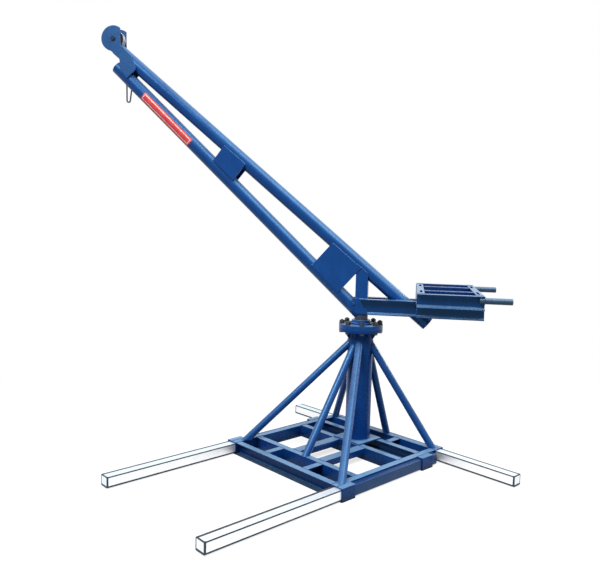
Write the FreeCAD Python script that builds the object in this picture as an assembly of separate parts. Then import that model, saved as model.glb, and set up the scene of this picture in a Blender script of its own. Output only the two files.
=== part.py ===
import FreeCAD, Part
import math
import os

# Mini building crane. The origin is on the slewing axis at floor level, +Z is up, +X runs from
# the boom head towards the winch platform, and the boom lies in the plane y = 0.
# The base is laid out square to its own x and y, then turned under the boom by base_turn.
# All lengths are millimetres.

vec = FreeCAD.Vector
centre = vec(0, 0, 0)
right = vec(1, 0, 0)
back = vec(0, 1, 0)
up = vec(0, 0, 1)

# Fits and cutting overrun
weld_gap = 0.2
running_gap = 0.05
slide_gap = 0.4
bolt_gap = 1.0
overrun = 3.0

# Rolled channels: height, flange width, web, flange thickness, root and toe radii
frame_channel = {"height": 80.0, "flange": 43.0, "web": 5.0, "thickness": 6.0, "root": 6.0, "toe": 3.0}
long_bar_channel = {"height": 63.0, "flange": 40.0, "web": 4.8, "thickness": 7.5, "root": 7.5, "toe": 3.7}
beam_channel = {"height": 100.0, "flange": 48.0, "web": 5.3, "thickness": 8.5, "root": 8.5, "toe": 4.2}
rail_channel = {"height": 80.0, "flange": 43.0, "web": 5.0, "thickness": 8.0, "root": 8.0, "toe": 4.0}
lower_rail_channel = {"height": 63.0, "flange": 40.0, "web": 4.8, "thickness": 7.5, "root": 7.5, "toe": 3.7}

# Boom tubes and the slewing head sized round them
tube_radius = 44.5
tube_wall = 4.0
hub_wall = 9.5
bearing_section = 20.0
cartridge_wall = 11.0
cartridge_gap = 10.0
column_wall = 8.0
flange_rim = 61.0
flange_thickness = 24.0

# Base frame
base_turn = -37.3
frame_half_width = 478.0
frame_front = 695.0
frame_rear = 261.0
crossbar_setback = 195.0
bearer_offset = 5.0
front_short_bar_x = 176.0
rear_short_bar_x = 174.0
long_bar_places = (-88.0, 138.0)

# Sockets and outriggers
socket_length = 107.0
side_socket_setback = 126.0
outrigger_clearance = 2.0
outrigger_wall = 4.0
outrigger_corner = 7.0
outrigger_cap_thickness = 4.0
side_outrigger_reach = 890.0
side_outrigger_tail = 50.0
rear_outrigger_left_reach = 385.0
rear_outrigger_right_reach = 549.0

# Base plate, column and braces
base_plate_side_rim = 31.0
base_plate_end_rim = 26.0
base_plate_thickness = 10.0
column_height = 722.0
brace_radius = 24.0
brace_wall = 4.0
corner_brace_drop = 60.0
middle_brace_drop = 84.0
left_foot_inset = 35.0
right_foot_inset = 24.0
rear_foot_inset = 41.0
left_foot_setback = 95.0
right_foot_setback = 65.0
front_middle_foot_x = 25.0
rear_middle_foot_x = 57.0
gusset_count = 8
gusset_thickness = 8.0
gusset_height = 52.0
gusset_reach = 34.0

# Flange bolts and the housing cap
flange_bolt_count = 8
bolt_edge_distance = 19.5
bolt_radius = 10.0
bolt_head_flats = 30.0
bolt_head_height = 12.5
washer_radius = 18.5
washer_thickness = 3.0
nut_height = 18.0
bolt_tail = 5.0
cap_wall = 14.0
cap_lid = 9.0
cap_height = 28.0
cap_flange_thickness = 10.0
cap_screw_count = 6
cap_screw_seat = 8.0
cap_screw_radius = 4.0
cap_screw_flats = 13.0
cap_screw_head = 5.5
cap_screw_depth = 14.0

# Kingpin and its bearings
collar_step = 9.0
collar_rise = 28.0
kingpin_thread_step = 3.0
kingpin_thread_length = 36.0
kingpin_nut_flats = 90.0
kingpin_nut_height = 28.0
kingpin_nut_face = 3.0
bearing_width = 20.0
bearing_ball_radius = 6.0
bearing_ball_count = 12
bearing_ring_wall = 6.0
lower_bearing_drop = 196.0
ledge_thickness = 4.0
ledge_opening = 4.0
spacer_wall = 4.0
thrust_section = 12.5
thrust_height = 18.0
thrust_washer = 6.0
thrust_ball_radius = 4.5
thrust_ball_count = 16
thrust_housing_gap = 0.5

# Rear beam
beam_rise = 116.0
beam_end = 745.0
beam_slant_top = -8.0
beam_slant_bottom = 50.0

# Boom: the lower chord's axis is a straight line z = height - slope * x, and the upper chord's
# axis stands root_spacing above it over the post and head_spacing above it at the head
boom_reach = 1735.5
lower_chord_drop = 111.0
lower_chord_angle = 43.4263
root_spacing = 318.0
head_spacing = 120.7
upper_chord_setback = 7.5
lower_chord_setback = 10.5
upper_chord_tail = 433.0
chord_cap_thickness = 4.0
chord_cap_recess = 3.0
sheave_clearance = 6.0
post_width = 80.0
post_inset = 0.5
post_wall = 6.0
web_plate_thickness = 6.0
lower_web_plate = {"upper": (-193.0, -1.0), "lower": (-335.0, -154.0), "drop": 10.0, "rise": 0.0}
upper_web_plate = {"upper": (-942.0, -792.0), "lower": (-1037.0, -898.0), "drop": 5.0, "rise": 24.0}

# Boom head and sheave
axle_rise = 49.7
head_thickness = 8.0
nose_radius = 84.5
rear_cut_share = 0.6
head_outline_shares = (
    ("upper", 0.09, -0.43),
    ("upper", 0.80, -0.41),
    ("lower", 0.24, 0.49),
    ("lower", 0.52, 0.14),
    ("lower", 1.20, -0.02),
    ("upper", 2.08, -0.23),
    ("upper", 1.32, 0.37),
    ("upper", 0.33, 0.46),
)
sheave_inset = 24.5
sheave_side_gap = 2.7
sheave_rim_width = 40.0
sheave_rim_depth = 16.0
sheave_web = 14.0
sheave_hub_wall = 11.0
groove_radius = 8.0
groove_offset = 2.0
bush_wall = 4.0
axle_radius = 15.0
axle_head_step = 6.0
axle_head_thickness = 6.0
axle_tail = 9.0
axle_ring_step = 4.5
axle_ring_thickness = 2.5
axle_ring_groove = 2.0

# Rope anchor loop under the lower chord
anchor_setback = 76.5
anchor_spread = 42.0
anchor_radius = 5.0
anchor_bend = 12.0
anchor_drop = 154.0
anchor_lean = 7.0

# Sign band on the near side of the lower chord
sign_setback = 215.5
sign_run = 337.0
sign_thickness = 1.0
sign_half_angle = 40.0
sign_tilt = -12.0

# Cheek plates between the hub, the lower chord and the rear beam
cheek_thickness = 8.0
cheek_step = 2.0
cheek_outline_shares = (-1.39, -0.67)
cheek_bolt_station = -64.0
cheek_bolt_rise = 20.0
cheek_bolt_radius = 6.0
cheek_bolt_flats = 19.0
cheek_bolt_head = 7.5
cheek_bolt_length = 22.0

# Winch platform
platform_length = 388.0
platform_half_width = 400.0
cross_slot_radius = 8.0
cross_slot_place = 215.0
inner_slot_length = 130.0
outer_slot_length = 150.0
winch_rail_width = 60.0
winch_rail_thickness = 10.0
winch_rail_place = 150.0
winch_hole_radius = 7.0
winch_hole_steps = (57.0, 102.0)
push_bar_radius = 19.0
push_bar_grip = 30.0
push_bar_length = 188.0
push_bar_chamfer = 2.0
push_bar_weld = 4.0

# Sizes that follow from the ones above: radii from the boom tube outwards
kingpin_radius = tube_radius - hub_wall
kingpin_thread_radius = kingpin_radius - kingpin_thread_step
collar_radius = kingpin_radius + collar_step
thrust_radius = kingpin_radius + thrust_section
bearing_outer_radius = kingpin_radius + bearing_section
cartridge_radius = bearing_outer_radius + cartridge_wall
column_bore = cartridge_radius + cartridge_gap
column_radius = column_bore + column_wall
flange_radius = column_radius + flange_rim
flange_bolt_circle = flange_radius - bolt_edge_distance
cap_radius = thrust_radius + thrust_housing_gap + cap_wall
cap_screw_circle = cap_radius + cap_screw_seat
cap_flange_radius = cap_screw_circle + cap_screw_seat
bearing_pitch = (kingpin_radius + bearing_outer_radius) / 2
thrust_pitch = (kingpin_radius + thrust_radius) / 2
bush_radius = axle_radius + bush_wall
sheave_radius = nose_radius - sheave_inset

# Heights from the floor up
frame_top = frame_channel["height"]
column_foot = frame_top + base_plate_thickness
column_top = column_foot + column_height
lower_flange_top = column_top + flange_thickness
housing_top = lower_flange_top + flange_thickness
cap_top = housing_top + cap_height
thrust_top = housing_top + thrust_height
upper_bearing_floor = housing_top - ledge_thickness - bearing_width
lower_bearing_floor = upper_bearing_floor - lower_bearing_drop
kingpin_shoulder = lower_bearing_floor - kingpin_nut_face
kingpin_foot = kingpin_shoulder - kingpin_thread_length
collar_top = cap_top + collar_rise
beam_top = collar_top + beam_rise
beam_bottom = beam_top - beam_channel["height"]
platform_top = beam_top + rail_channel["height"]

# Base, seen from above
bay_half_width = frame_half_width - frame_channel["flange"]
front_web = frame_channel["flange"] - frame_front
rear_web = frame_rear - frame_channel["flange"]
half_bar = frame_channel["flange"] / 2
crossbar_y = crossbar_setback - frame_front
bearer_spread = column_radius + bearer_offset
base_plate_half_width = column_radius + base_plate_side_rim
base_plate_half_depth = column_radius + base_plate_end_rim
side_socket_front_y = socket_length / 2 - frame_front
side_socket_rear_y = frame_rear - side_socket_setback - socket_length / 2
outrigger_width = 2 * (frame_channel["flange"] - frame_channel["web"]) - outrigger_clearance
outrigger_height = frame_top - 2 * frame_channel["thickness"] - outrigger_clearance
outrigger_middle = frame_channel["thickness"] + slide_gap + outrigger_height / 2
corner_brace_top = column_top - corner_brace_drop
middle_brace_top = column_top - middle_brace_drop
left_foot_y = left_foot_setback - frame_front
right_foot_y = right_foot_setback - frame_front
rear_foot_y = rear_web + half_bar
corner_brace_feet = {
    "front_left_brace": (left_foot_inset - frame_half_width, left_foot_y),
    "front_right_brace": (frame_half_width - right_foot_inset, right_foot_y),
    "rear_right_brace": (frame_half_width - rear_foot_inset, rear_foot_y),
    "rear_left_brace": (rear_foot_inset - frame_half_width, rear_foot_y),
}
middle_brace_feet = {
    "front_middle_brace": (front_middle_foot_x, crossbar_y),
    "rear_middle_brace": (rear_middle_foot_x, rear_foot_y),
}

# Boom, its head and the platform
boom_plane = tube_radius + weld_gap
post_half_depth = tube_radius - post_inset
lower_chord = {"height": beam_top - lower_chord_drop, "slope": math.tan(math.radians(lower_chord_angle))}
upper_chord = {"height": lower_chord["height"] + root_spacing,
               "slope": lower_chord["slope"] - (root_spacing - head_spacing) / boom_reach}
upper_chord_end = upper_chord_setback - boom_reach
lower_chord_end = lower_chord_setback - boom_reach
axle_z = upper_chord["height"] + upper_chord["slope"] * boom_reach + axle_rise
axle = vec(-boom_reach, 0, axle_z)
beam_flange_tip = boom_plane + beam_channel["flange"]
platform_start = beam_end - platform_length
platform_middle = (platform_start + beam_end) / 2
push_bar_start = beam_end - push_bar_grip
rail_web = platform_half_width - rail_channel["flange"]
lower_rail_web = platform_half_width - lower_rail_channel["flange"]


# Shapes
def box(x0, x1, y0, y1, z0, z1):
    return Part.makeBox(x1 - x0, y1 - y0, z1 - z0, vec(x0, y0, z0))


def rod(radius, start, end):
    return Part.makeCylinder(radius, (end - start).Length, start, end - start)


def disc(radius, z0, z1, x=0, y=0):
    return rod(radius, vec(x, y, z0), vec(x, y, z1))


def ring(outer, inner, z0, z1):
    return disc(outer, z0, z1).cut(disc(inner, z0 - overrun, z1 + overrun))


def hexagon(flats, z0, z1, x=0, y=0):
    corner = flats / math.sqrt(3)
    points = [vec(x + corner * math.cos(turn), y + corner * math.sin(turn), z0)
              for turn in (step * math.pi / 3 for step in range(7))]
    return Part.Face(Part.makePolygon(points)).extrude(up * (z1 - z0))


def slot(radius, length, z0, z1, x, y):
    # Round-ended cutter, its long way along y
    half_flat = length / 2 - radius
    middle = box(x - radius, x + radius, y - half_flat, y + half_flat, z0, z1)
    return middle.fuse([disc(radius, z0, z1, x, y + half_flat), disc(radius, z0, z1, x, y - half_flat)])


def around(count, radius):
    turns = [math.radians(step * 360 / count) for step in range(count)]
    return [(radius * math.cos(turn), radius * math.sin(turn)) for turn in turns]


def rounded_face(corners):
    # Closed outline through (point, radius) pairs, with an arc in each corner that has a radius
    count = len(corners)
    arrivals, departures, middles = [], [], []
    for index, (corner, radius) in enumerate(corners):
        before = (corners[index - 1][0] - corner).normalize()
        after = (corners[(index + 1) % count][0] - corner).normalize()
        half = before.getAngle(after) / 2
        reach = radius / math.tan(half)
        arrivals.append(corner + before * reach)
        departures.append(corner + after * reach)
        middles.append(corner + (before + after).normalize() * (radius / math.sin(half) - radius))
    edges = []
    for index, (corner, radius) in enumerate(corners):
        if radius:
            edges.append(Part.Arc(arrivals[index], middles[index], departures[index]).toShape())
        edges.append(Part.LineSegment(departures[index], arrivals[(index + 1) % count]).toShape())
    return Part.Face(Part.Wire(edges))


def sharp_face(points):
    return rounded_face([(point, 0) for point in points])


def placed(shape, origin, x_axis, y_axis):
    z_axis = x_axis.cross(y_axis)
    moved = shape.copy()
    moved.Placement = FreeCAD.Placement(FreeCAD.Matrix(
        x_axis.x, y_axis.x, z_axis.x, origin.x,
        x_axis.y, y_axis.y, z_axis.y, origin.y,
        x_axis.z, y_axis.z, z_axis.z, origin.z,
        0, 0, 0, 1))
    return moved


def channel(size, length, middle, opening, upwards=up):
    # middle lies on the lower edge of the web's outer face, half way along the bar
    height, flange, web = size["height"], size["flange"], size["web"]
    thickness, root, toe = size["thickness"], size["root"], size["toe"]
    corners = [
        (0, 0, 0), (flange, 0, 0), (flange, thickness, toe), (web, thickness, root),
        (web, height - thickness, root), (flange, height - thickness, toe), (flange, height, 0),
        (0, height, 0),
    ]
    profile = rounded_face([(vec(-length / 2, y, z), radius) for y, z, radius in corners])
    bar = profile.extrude(right * length)
    return placed(bar, middle, opening.cross(upwards), opening)


def box_tube(width, height, wall, corner, length):
    # Along +Y from the origin, its section centred on the Y axis
    def section(half_width, half_height, radius):
        signs = ((-1, -1), (1, -1), (1, 1), (-1, 1))
        return rounded_face([(vec(sx * half_width, 0, sz * half_height), radius) for sx, sz in signs])
    outer = section(width / 2, height / 2, corner).extrude(back * length)
    inner = section(width / 2 - wall, height / 2 - wall, corner - wall).extrude(back * length)
    return outer, outer.cut(inner)


def chord_point(chord, x, across=0):
    # Point over x on the chord's axis, then square to the axis in the boom plane
    slope = chord["slope"]
    unit = math.hypot(1, slope)
    return vec(x + across * slope / unit, 0, chord["height"] - slope * x + across / unit)


def chord_direction(chord):
    return vec(-1, 0, chord["slope"]).normalize()


def mirrored(shape):
    return shape.mirror(centre, back)


def pair(shape):
    return [shape, mirrored(shape)]


# Base frame
def side_channel(side):
    length = frame_front + rear_web
    middle = vec(side * bay_half_width, (rear_web - frame_front) / 2, 0)
    return channel(frame_channel, length, middle, right * side)


def end_channels():
    front = channel(frame_channel, 2 * bay_half_width, vec(0, front_web, 0), -back)
    rear = channel(frame_channel, 2 * frame_half_width, vec(0, rear_web, 0), back)
    return front, rear


def side_sockets():
    outer_web = frame_half_width + frame_channel["flange"]
    return [channel(frame_channel, socket_length, vec(side * outer_web, y, 0), right * -side)
            for side in (-1, 1) for y in (side_socket_front_y, side_socket_rear_y)]


def rear_sockets():
    outer_web = frame_rear + frame_channel["flange"]
    x = frame_half_width - socket_length / 2
    return [channel(frame_channel, socket_length, vec(side * x, outer_web, 0), -back)
            for side in (-1, 1)]


def crossbar(y, opening):
    # The bar's flanges point along opening, with its middle line at y
    web = vec(0, y, 0) - opening * half_bar
    return channel(frame_channel, 2 * bay_half_width, web, opening)


def short_bars(x, start, end):
    middle_y = (start + end) / 2
    return [channel(frame_channel, end - start, vec(side * (x - half_bar), middle_y, 0), right * side)
            for side in (-1, 1)]


def long_bars(start, end):
    # Channels laid flat, web up, flush with the top of the frame
    half_height, middle_y = long_bar_channel["height"] / 2, (start + end) / 2
    return [channel(long_bar_channel, end - start, vec(x - half_height, middle_y, frame_top), -up, right)
            for x in long_bar_places]


def base_plate():
    return box(-base_plate_half_width, base_plate_half_width,
               -base_plate_half_depth, base_plate_half_depth, frame_top, column_foot)


def brace(foot_x, foot_y, top):
    # Round tube aimed at the column's axis, coped to the column and cut flat on the frame,
    # with the slope that brings its upper edge to the column at the height top
    foot = vec(foot_x, foot_y, frame_top)
    spread = math.hypot(foot_x, foot_y)
    run, height = spread - column_radius, top - frame_top
    edge = brace_radius * math.sqrt(run ** 2 + height ** 2 - brace_radius ** 2)
    slope = (height * run - edge) / (run ** 2 - brace_radius ** 2)
    reach = spread - column_radius / 2
    direction = vec(-foot_x / spread, -foot_y / spread, slope)
    start = foot - direction * (2 * brace_radius / slope)
    end = foot + direction * reach
    tube = rod(brace_radius, start, end).cut(rod(brace_radius - brace_wall, start, end))
    below = box(foot_x - spread, foot_x + spread, foot_y - spread, foot_y + spread, -spread, frame_top)
    return tube.cut(below).cut(disc(column_radius + weld_gap, 0, column_top))


def gussets():
    inner = column_radius + weld_gap
    outer = column_radius + gusset_reach
    plate = sharp_face([
        vec(inner, -gusset_thickness / 2, column_top - gusset_height),
        vec(outer, -gusset_thickness / 2, column_top),
        vec(inner, -gusset_thickness / 2, column_top),
    ]).extrude(back * gusset_thickness)
    half_step = 180 / gusset_count
    return [plate.copy().rotate(centre, up, half_step * (2 * step + 1)) for step in range(gusset_count)]


# Outriggers
def outrigger(length):
    # Box tube along +Y with a welded plate over each end
    solid, tube = box_tube(outrigger_width, outrigger_height, outrigger_wall, outrigger_corner,
                           length - 2 * outrigger_cap_thickness)
    cap = box_tube(outrigger_width, outrigger_height, outrigger_wall, outrigger_corner,
                   outrigger_cap_thickness)[0]
    tube.translate(back * outrigger_cap_thickness)
    far_cap = cap.copy()
    far_cap.translate(back * (length - outrigger_cap_thickness))
    return [tube, cap, far_cap]


def side_outrigger(side):
    front = -(frame_front + side_outrigger_reach)
    rear = side_socket_rear_y + socket_length / 2 + side_outrigger_tail
    pieces = outrigger(rear - front)
    for piece in pieces:
        piece.translate(vec(side * frame_half_width, front, outrigger_middle))
    return pieces


def rear_outrigger():
    left_end = -(frame_half_width + rear_outrigger_left_reach)
    right_end = frame_half_width + rear_outrigger_right_reach
    pieces = outrigger(right_end - left_end)
    for piece in pieces:
        piece.rotate(centre, up, -90)
        piece.translate(vec(left_end, frame_rear, outrigger_middle))
    return pieces


# Slewing head, fixed side
def column():
    return ring(column_radius, column_bore, column_foot, column_top)


def flange_holes():
    return [disc(bolt_radius + bolt_gap, column_top - overrun, housing_top + overrun, x, y)
            for x, y in around(flange_bolt_count, flange_bolt_circle)]


def lower_flange():
    return ring(flange_radius, column_bore, column_top, lower_flange_top).cut(flange_holes())


def bearing_housing():
    # Flange on top, locating spigot in the lower flange, and a long cartridge down the column
    bore = bearing_outer_radius + running_gap
    body = disc(flange_radius, lower_flange_top, housing_top)
    body = body.fuse(disc(column_bore - weld_gap, column_top, lower_flange_top))
    body = body.fuse(disc(cartridge_radius, lower_bearing_floor, column_top)).removeSplitter()
    body = body.cut(disc(bore, lower_bearing_floor - overrun, housing_top - ledge_thickness))
    body = body.cut(disc(kingpin_radius + ledge_opening, lower_bearing_floor, housing_top + overrun))
    floor = housing_top - cap_screw_depth
    screw_holes = [disc(cap_screw_radius + running_gap, floor, housing_top + overrun, x, y)
                   for x, y in around(cap_screw_count, cap_screw_circle)]
    return body.cut(flange_holes() + screw_holes)


def housing_cap():
    lid_floor = cap_top - cap_lid
    body = disc(cap_flange_radius, housing_top, housing_top + cap_flange_thickness)
    body = body.fuse(disc(cap_radius, housing_top, cap_top)).removeSplitter()
    body = body.cut(disc(thrust_radius + thrust_housing_gap, housing_top - overrun, lid_floor))
    body = body.cut(disc(collar_radius + slide_gap, housing_top, cap_top + overrun))
    holes = [disc(cap_screw_radius + slide_gap, housing_top - overrun, cap_top, x, y)
             for x, y in around(cap_screw_count, cap_screw_circle)]
    return body.cut(holes)


def flange_bolts():
    top = housing_top + washer_thickness + nut_height + bolt_tail
    return [hexagon(bolt_head_flats, column_top - bolt_head_height, column_top, x, y).fuse(
        disc(bolt_radius, column_top - bolt_head_height, top, x, y)).removeSplitter()
        for x, y in around(flange_bolt_count, flange_bolt_circle)]


def flange_washers():
    top = housing_top + washer_thickness
    return [disc(washer_radius, housing_top, top, x, y).cut(
        disc(bolt_radius + slide_gap, housing_top - overrun, top + overrun, x, y))
        for x, y in around(flange_bolt_count, flange_bolt_circle)]


def flange_nuts():
    floor = housing_top + washer_thickness
    top = floor + nut_height
    return [hexagon(bolt_head_flats, floor, top, x, y).cut(
        disc(bolt_radius + running_gap, floor - overrun, top + overrun, x, y))
        for x, y in around(flange_bolt_count, flange_bolt_circle)]


def cap_screws():
    seat = housing_top + cap_flange_thickness
    tip = housing_top - cap_screw_depth + slide_gap
    return [hexagon(cap_screw_flats, seat, seat + cap_screw_head, x, y).fuse(
        disc(cap_screw_radius, tip, seat + cap_screw_head, x, y)).removeSplitter()
        for x, y in around(cap_screw_count, cap_screw_circle)]


# Bearings
def ball_track(pitch, radius, z):
    return Part.makeTorus(pitch, radius + running_gap, vec(0, 0, z), up)


def bearing_rings(floor):
    # Outer and inner ring of one deep-groove bearing, with the ball track cut in both
    top = floor + bearing_width
    track = ball_track(bearing_pitch, bearing_ball_radius, floor + bearing_width / 2)
    outer = ring(bearing_outer_radius, bearing_outer_radius - bearing_ring_wall, floor, top).cut(track)
    inner_bore = kingpin_radius + running_gap
    inner = ring(inner_bore + bearing_ring_wall, inner_bore, floor, top)
    return outer, inner.cut(track)


def thrust_washers():
    track = ball_track(thrust_pitch, thrust_ball_radius, housing_top + thrust_height / 2)
    fixed = ring(thrust_radius, kingpin_radius + thrust_housing_gap,
                 housing_top, housing_top + thrust_washer)
    turning = ring(thrust_radius, kingpin_radius + running_gap, thrust_top - thrust_washer, thrust_top)
    return fixed.cut(track), turning.cut(track)


def bearing_balls():
    balls = [Part.makeSphere(bearing_ball_radius, vec(x, y, floor + bearing_width / 2))
             for floor in (upper_bearing_floor, lower_bearing_floor)
             for x, y in around(bearing_ball_count, bearing_pitch)]
    balls += [Part.makeSphere(thrust_ball_radius, vec(x, y, housing_top + thrust_height / 2))
              for x, y in around(thrust_ball_count, thrust_pitch)]
    return balls


def bearing_spacer():
    floor = lower_bearing_floor + bearing_width
    return ring(bearing_outer_radius, bearing_outer_radius - spacer_wall, floor, upper_bearing_floor)


# Slewing head, turning side
def kingpin():
    body = disc(kingpin_radius, kingpin_shoulder, beam_top)
    body = body.fuse(disc(collar_radius, thrust_top, collar_top))
    return body.fuse(disc(kingpin_thread_radius, kingpin_foot, kingpin_shoulder)).removeSplitter()


def kingpin_nut():
    # Nut with its washer face, drawn up against the lower bearing
    floor = kingpin_shoulder - kingpin_nut_height
    body = hexagon(kingpin_nut_flats, floor, kingpin_shoulder)
    body = body.fuse(disc(kingpin_radius + bearing_ring_wall, kingpin_shoulder, lower_bearing_floor))
    body = body.cut(disc(kingpin_thread_radius + running_gap, floor - overrun, kingpin_shoulder))
    return body.cut(disc(kingpin_radius + running_gap, kingpin_shoulder, lower_bearing_floor + overrun))


def hub():
    return ring(tube_radius, kingpin_radius + running_gap, collar_top, beam_top)


# Boom
def chord_tube(start, end):
    direction = (end - start).normalize()
    bore = rod(tube_radius - tube_wall, start - direction * overrun, end + direction * overrun)
    return rod(tube_radius, start, end).cut(bore)


def chord_cap(end, inwards, recess):
    # Disc welded into the end of a tube to keep the rain out
    outer = end + inwards * recess
    return rod(tube_radius - tube_wall - weld_gap, outer, outer + inwards * chord_cap_thickness)


def upper_tube():
    # Coped round the sheave at its upper end
    direction = chord_direction(upper_chord)
    tail = chord_point(upper_chord, upper_chord_tail)
    end = chord_point(upper_chord, upper_chord_end)
    reach = 2 * tube_radius
    cope = rod(sheave_radius + sheave_clearance, axle - back * reach, axle + back * reach)
    cope_depth = sheave_radius + sheave_clearance - (axle - end).dot(direction)
    return [chord_tube(tail, end).cut(cope), chord_cap(tail, direction, chord_cap_recess),
            chord_cap(end, -direction, cope_depth + chord_cap_recess)]


def lower_tube():
    # Fish-mouthed on the hub, with a hole for each cheek bolt
    direction = chord_direction(lower_chord)
    end = chord_point(lower_chord, lower_chord_end)
    tube = chord_tube(chord_point(lower_chord, tube_radius), end)
    tube = tube.cut(box(-tube_radius / 2, 2 * tube_radius, -2 * tube_radius, 2 * tube_radius, 0, beam_top))
    tube = tube.cut(disc(tube_radius + weld_gap, thrust_top - tube_radius, beam_top + tube_radius))
    return [tube.cut(cheek_bolt_hole()), chord_cap(end, -direction, chord_cap_recess)]


def post():
    # Box section from the hub up to the upper chord, coped round it
    half_width, half_depth = post_width / 2, post_half_depth
    ceiling = upper_chord["height"] + post_width
    body = box(-half_width, half_width, -half_depth, half_depth, beam_top, ceiling)
    body = body.cut(box(post_wall - half_width, half_width - post_wall, post_wall - half_depth,
                        half_depth - post_wall, beam_top - overrun, ceiling + overrun))
    above = sharp_face([
        chord_point(upper_chord, -post_width), chord_point(upper_chord, post_width),
        chord_point(upper_chord, post_width, 3 * post_width),
        chord_point(upper_chord, -post_width, 3 * post_width),
    ])
    above.translate(back * -2 * half_depth)
    body = body.cut(above.extrude(back * 4 * half_depth))
    return body.cut(rod(tube_radius + weld_gap, chord_point(upper_chord, 2 * post_width),
                        chord_point(upper_chord, -2 * post_width)))


def side_plate(face, thickness):
    # Plate against the near side of the boom, drawn in the boom plane
    face.translate(back * -(boom_plane + thickness))
    return face.extrude(back * thickness)


def web_plate(size):
    left_x, right_x = size["upper"]
    low_left_x, low_right_x = size["lower"]
    corners = [
        chord_point(lower_chord, low_left_x, size["rise"]),
        chord_point(lower_chord, low_right_x, size["rise"]),
        chord_point(upper_chord, right_x, -size["drop"]),
        chord_point(upper_chord, left_x, -size["drop"]),
    ]
    return side_plate(sharp_face(corners), web_plate_thickness)


def head_plate():
    # Round nose about the axle, cut upright at the rear, with a leg down to both chords
    chords = {"upper": upper_chord, "lower": lower_chord}
    downwards = chord_direction(upper_chord).cross(back)
    rear_x = axle.x + rear_cut_share * nose_radius
    leg = [chord_point(chords[name], axle.x + along * nose_radius, side * nose_radius)
           for name, along, side in head_outline_shares]
    leg_face = sharp_face([axle, axle + downwards * nose_radius] + leg + [vec(rear_x, 0, axle.z)])
    leg_plate = side_plate(leg_face, head_thickness)
    inside, outside = axle - back * boom_plane, axle - back * (boom_plane + head_thickness)
    nose = rod(nose_radius, inside, outside)
    behind = box(rear_x, axle.x + 2 * nose_radius, outside.y - overrun, inside.y + overrun,
                 axle.z - 2 * nose_radius, axle.z + 2 * nose_radius)
    below = box(axle.x, axle.x + 2 * nose_radius, outside.y - overrun, inside.y + overrun,
                axle.z - 2 * nose_radius, axle.z)
    plate = nose.cut(behind).cut(below).fuse(leg_plate).removeSplitter()
    return plate.cut(rod(axle_radius + running_gap, outside - back * overrun, inside + back * overrun))


def cheek_plate():
    # Laps the side of the hub and the lower chord, and meets the slanted end of the rear beam
    top_share, bottom_share = cheek_outline_shares
    face = sharp_face([
        vec(top_share * tube_radius, 0, beam_top), vec(beam_slant_top - cheek_step, 0, beam_top),
        vec(beam_slant_bottom - cheek_step, 0, beam_bottom),
        vec(bottom_share * tube_radius, 0, beam_bottom),
    ])
    return side_plate(face, cheek_thickness).cut(cheek_bolt_hole())


def cheek_bolt_centre():
    return chord_point(lower_chord, cheek_bolt_station, cheek_bolt_rise)


def cheek_bolt_hole():
    reach = back * (boom_plane + 2 * cheek_thickness)
    return rod(cheek_bolt_radius + running_gap, cheek_bolt_centre() - reach, cheek_bolt_centre() + reach)


def cheek_bolt():
    seat = back * (boom_plane + cheek_thickness)
    head = hexagon(cheek_bolt_flats, 0, cheek_bolt_head)
    shank = disc(cheek_bolt_radius, -cheek_bolt_length, cheek_bolt_head)
    return placed(head.fuse(shank).removeSplitter(), cheek_bolt_centre() - seat, right, up)


def sheave():
    # Turned about the axle: hub, web and grooved rim
    half_hub, half_web, half_rim = boom_plane - sheave_side_gap, sheave_web / 2, sheave_rim_width / 2
    hub_radius, rim_inner = bush_radius + sheave_hub_wall, sheave_radius - sheave_rim_depth
    half = [
        (bush_radius + running_gap, half_hub), (hub_radius, half_hub), (hub_radius, half_web),
        (rim_inner, half_web), (rim_inner, half_rim), (sheave_radius, half_rim),
    ]
    points = [vec(radius, y, 0) for radius, y in half]
    points += [vec(radius, -y, 0) for radius, y in reversed(half)]
    body = sharp_face(points).revolve(centre, back, 360)
    body = body.cut(Part.makeTorus(sheave_radius + groove_offset, groove_radius, centre, back))
    body.translate(axle)
    return body


def sheave_bush():
    half = back * (boom_plane - sheave_side_gap)
    start, end = axle - half, axle + half
    bore = rod(axle_radius + running_gap, start - back * overrun, end + back * overrun)
    return rod(bush_radius, start, end).cut(bore)


def sheave_axle():
    # Head on the far side, tail with a ring groove on the near side
    outside = boom_plane + head_thickness
    far_end = axle + back * (outside + axle_head_thickness)
    shaft = rod(axle_radius, axle - back * (outside + axle_tail), far_end)
    head = rod(axle_radius + axle_head_step, axle + back * (outside + weld_gap), far_end)
    groove_start = axle - back * (outside + weld_gap + axle_ring_thickness)
    groove_end = axle - back * (outside + weld_gap)
    groove = rod(axle_radius + overrun, groove_start, groove_end)
    groove = groove.cut(rod(axle_radius - axle_ring_groove, groove_start, groove_end))
    return shaft.fuse(head).removeSplitter().cut(groove)


def axle_ring():
    outside = boom_plane + head_thickness + weld_gap
    start = axle - back * (outside + axle_ring_thickness - running_gap)
    end = axle - back * (outside + running_gap)
    body = rod(axle_radius + axle_ring_step, start, end).cut(
        rod(axle_radius - axle_ring_groove + running_gap, start - back * overrun, end + back * overrun))
    gap = axle_ring_groove
    return body.cut(box(axle.x - gap, axle.x + gap, -2 * outside, 0, axle.z - 2 * axle_radius, axle.z))


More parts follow.
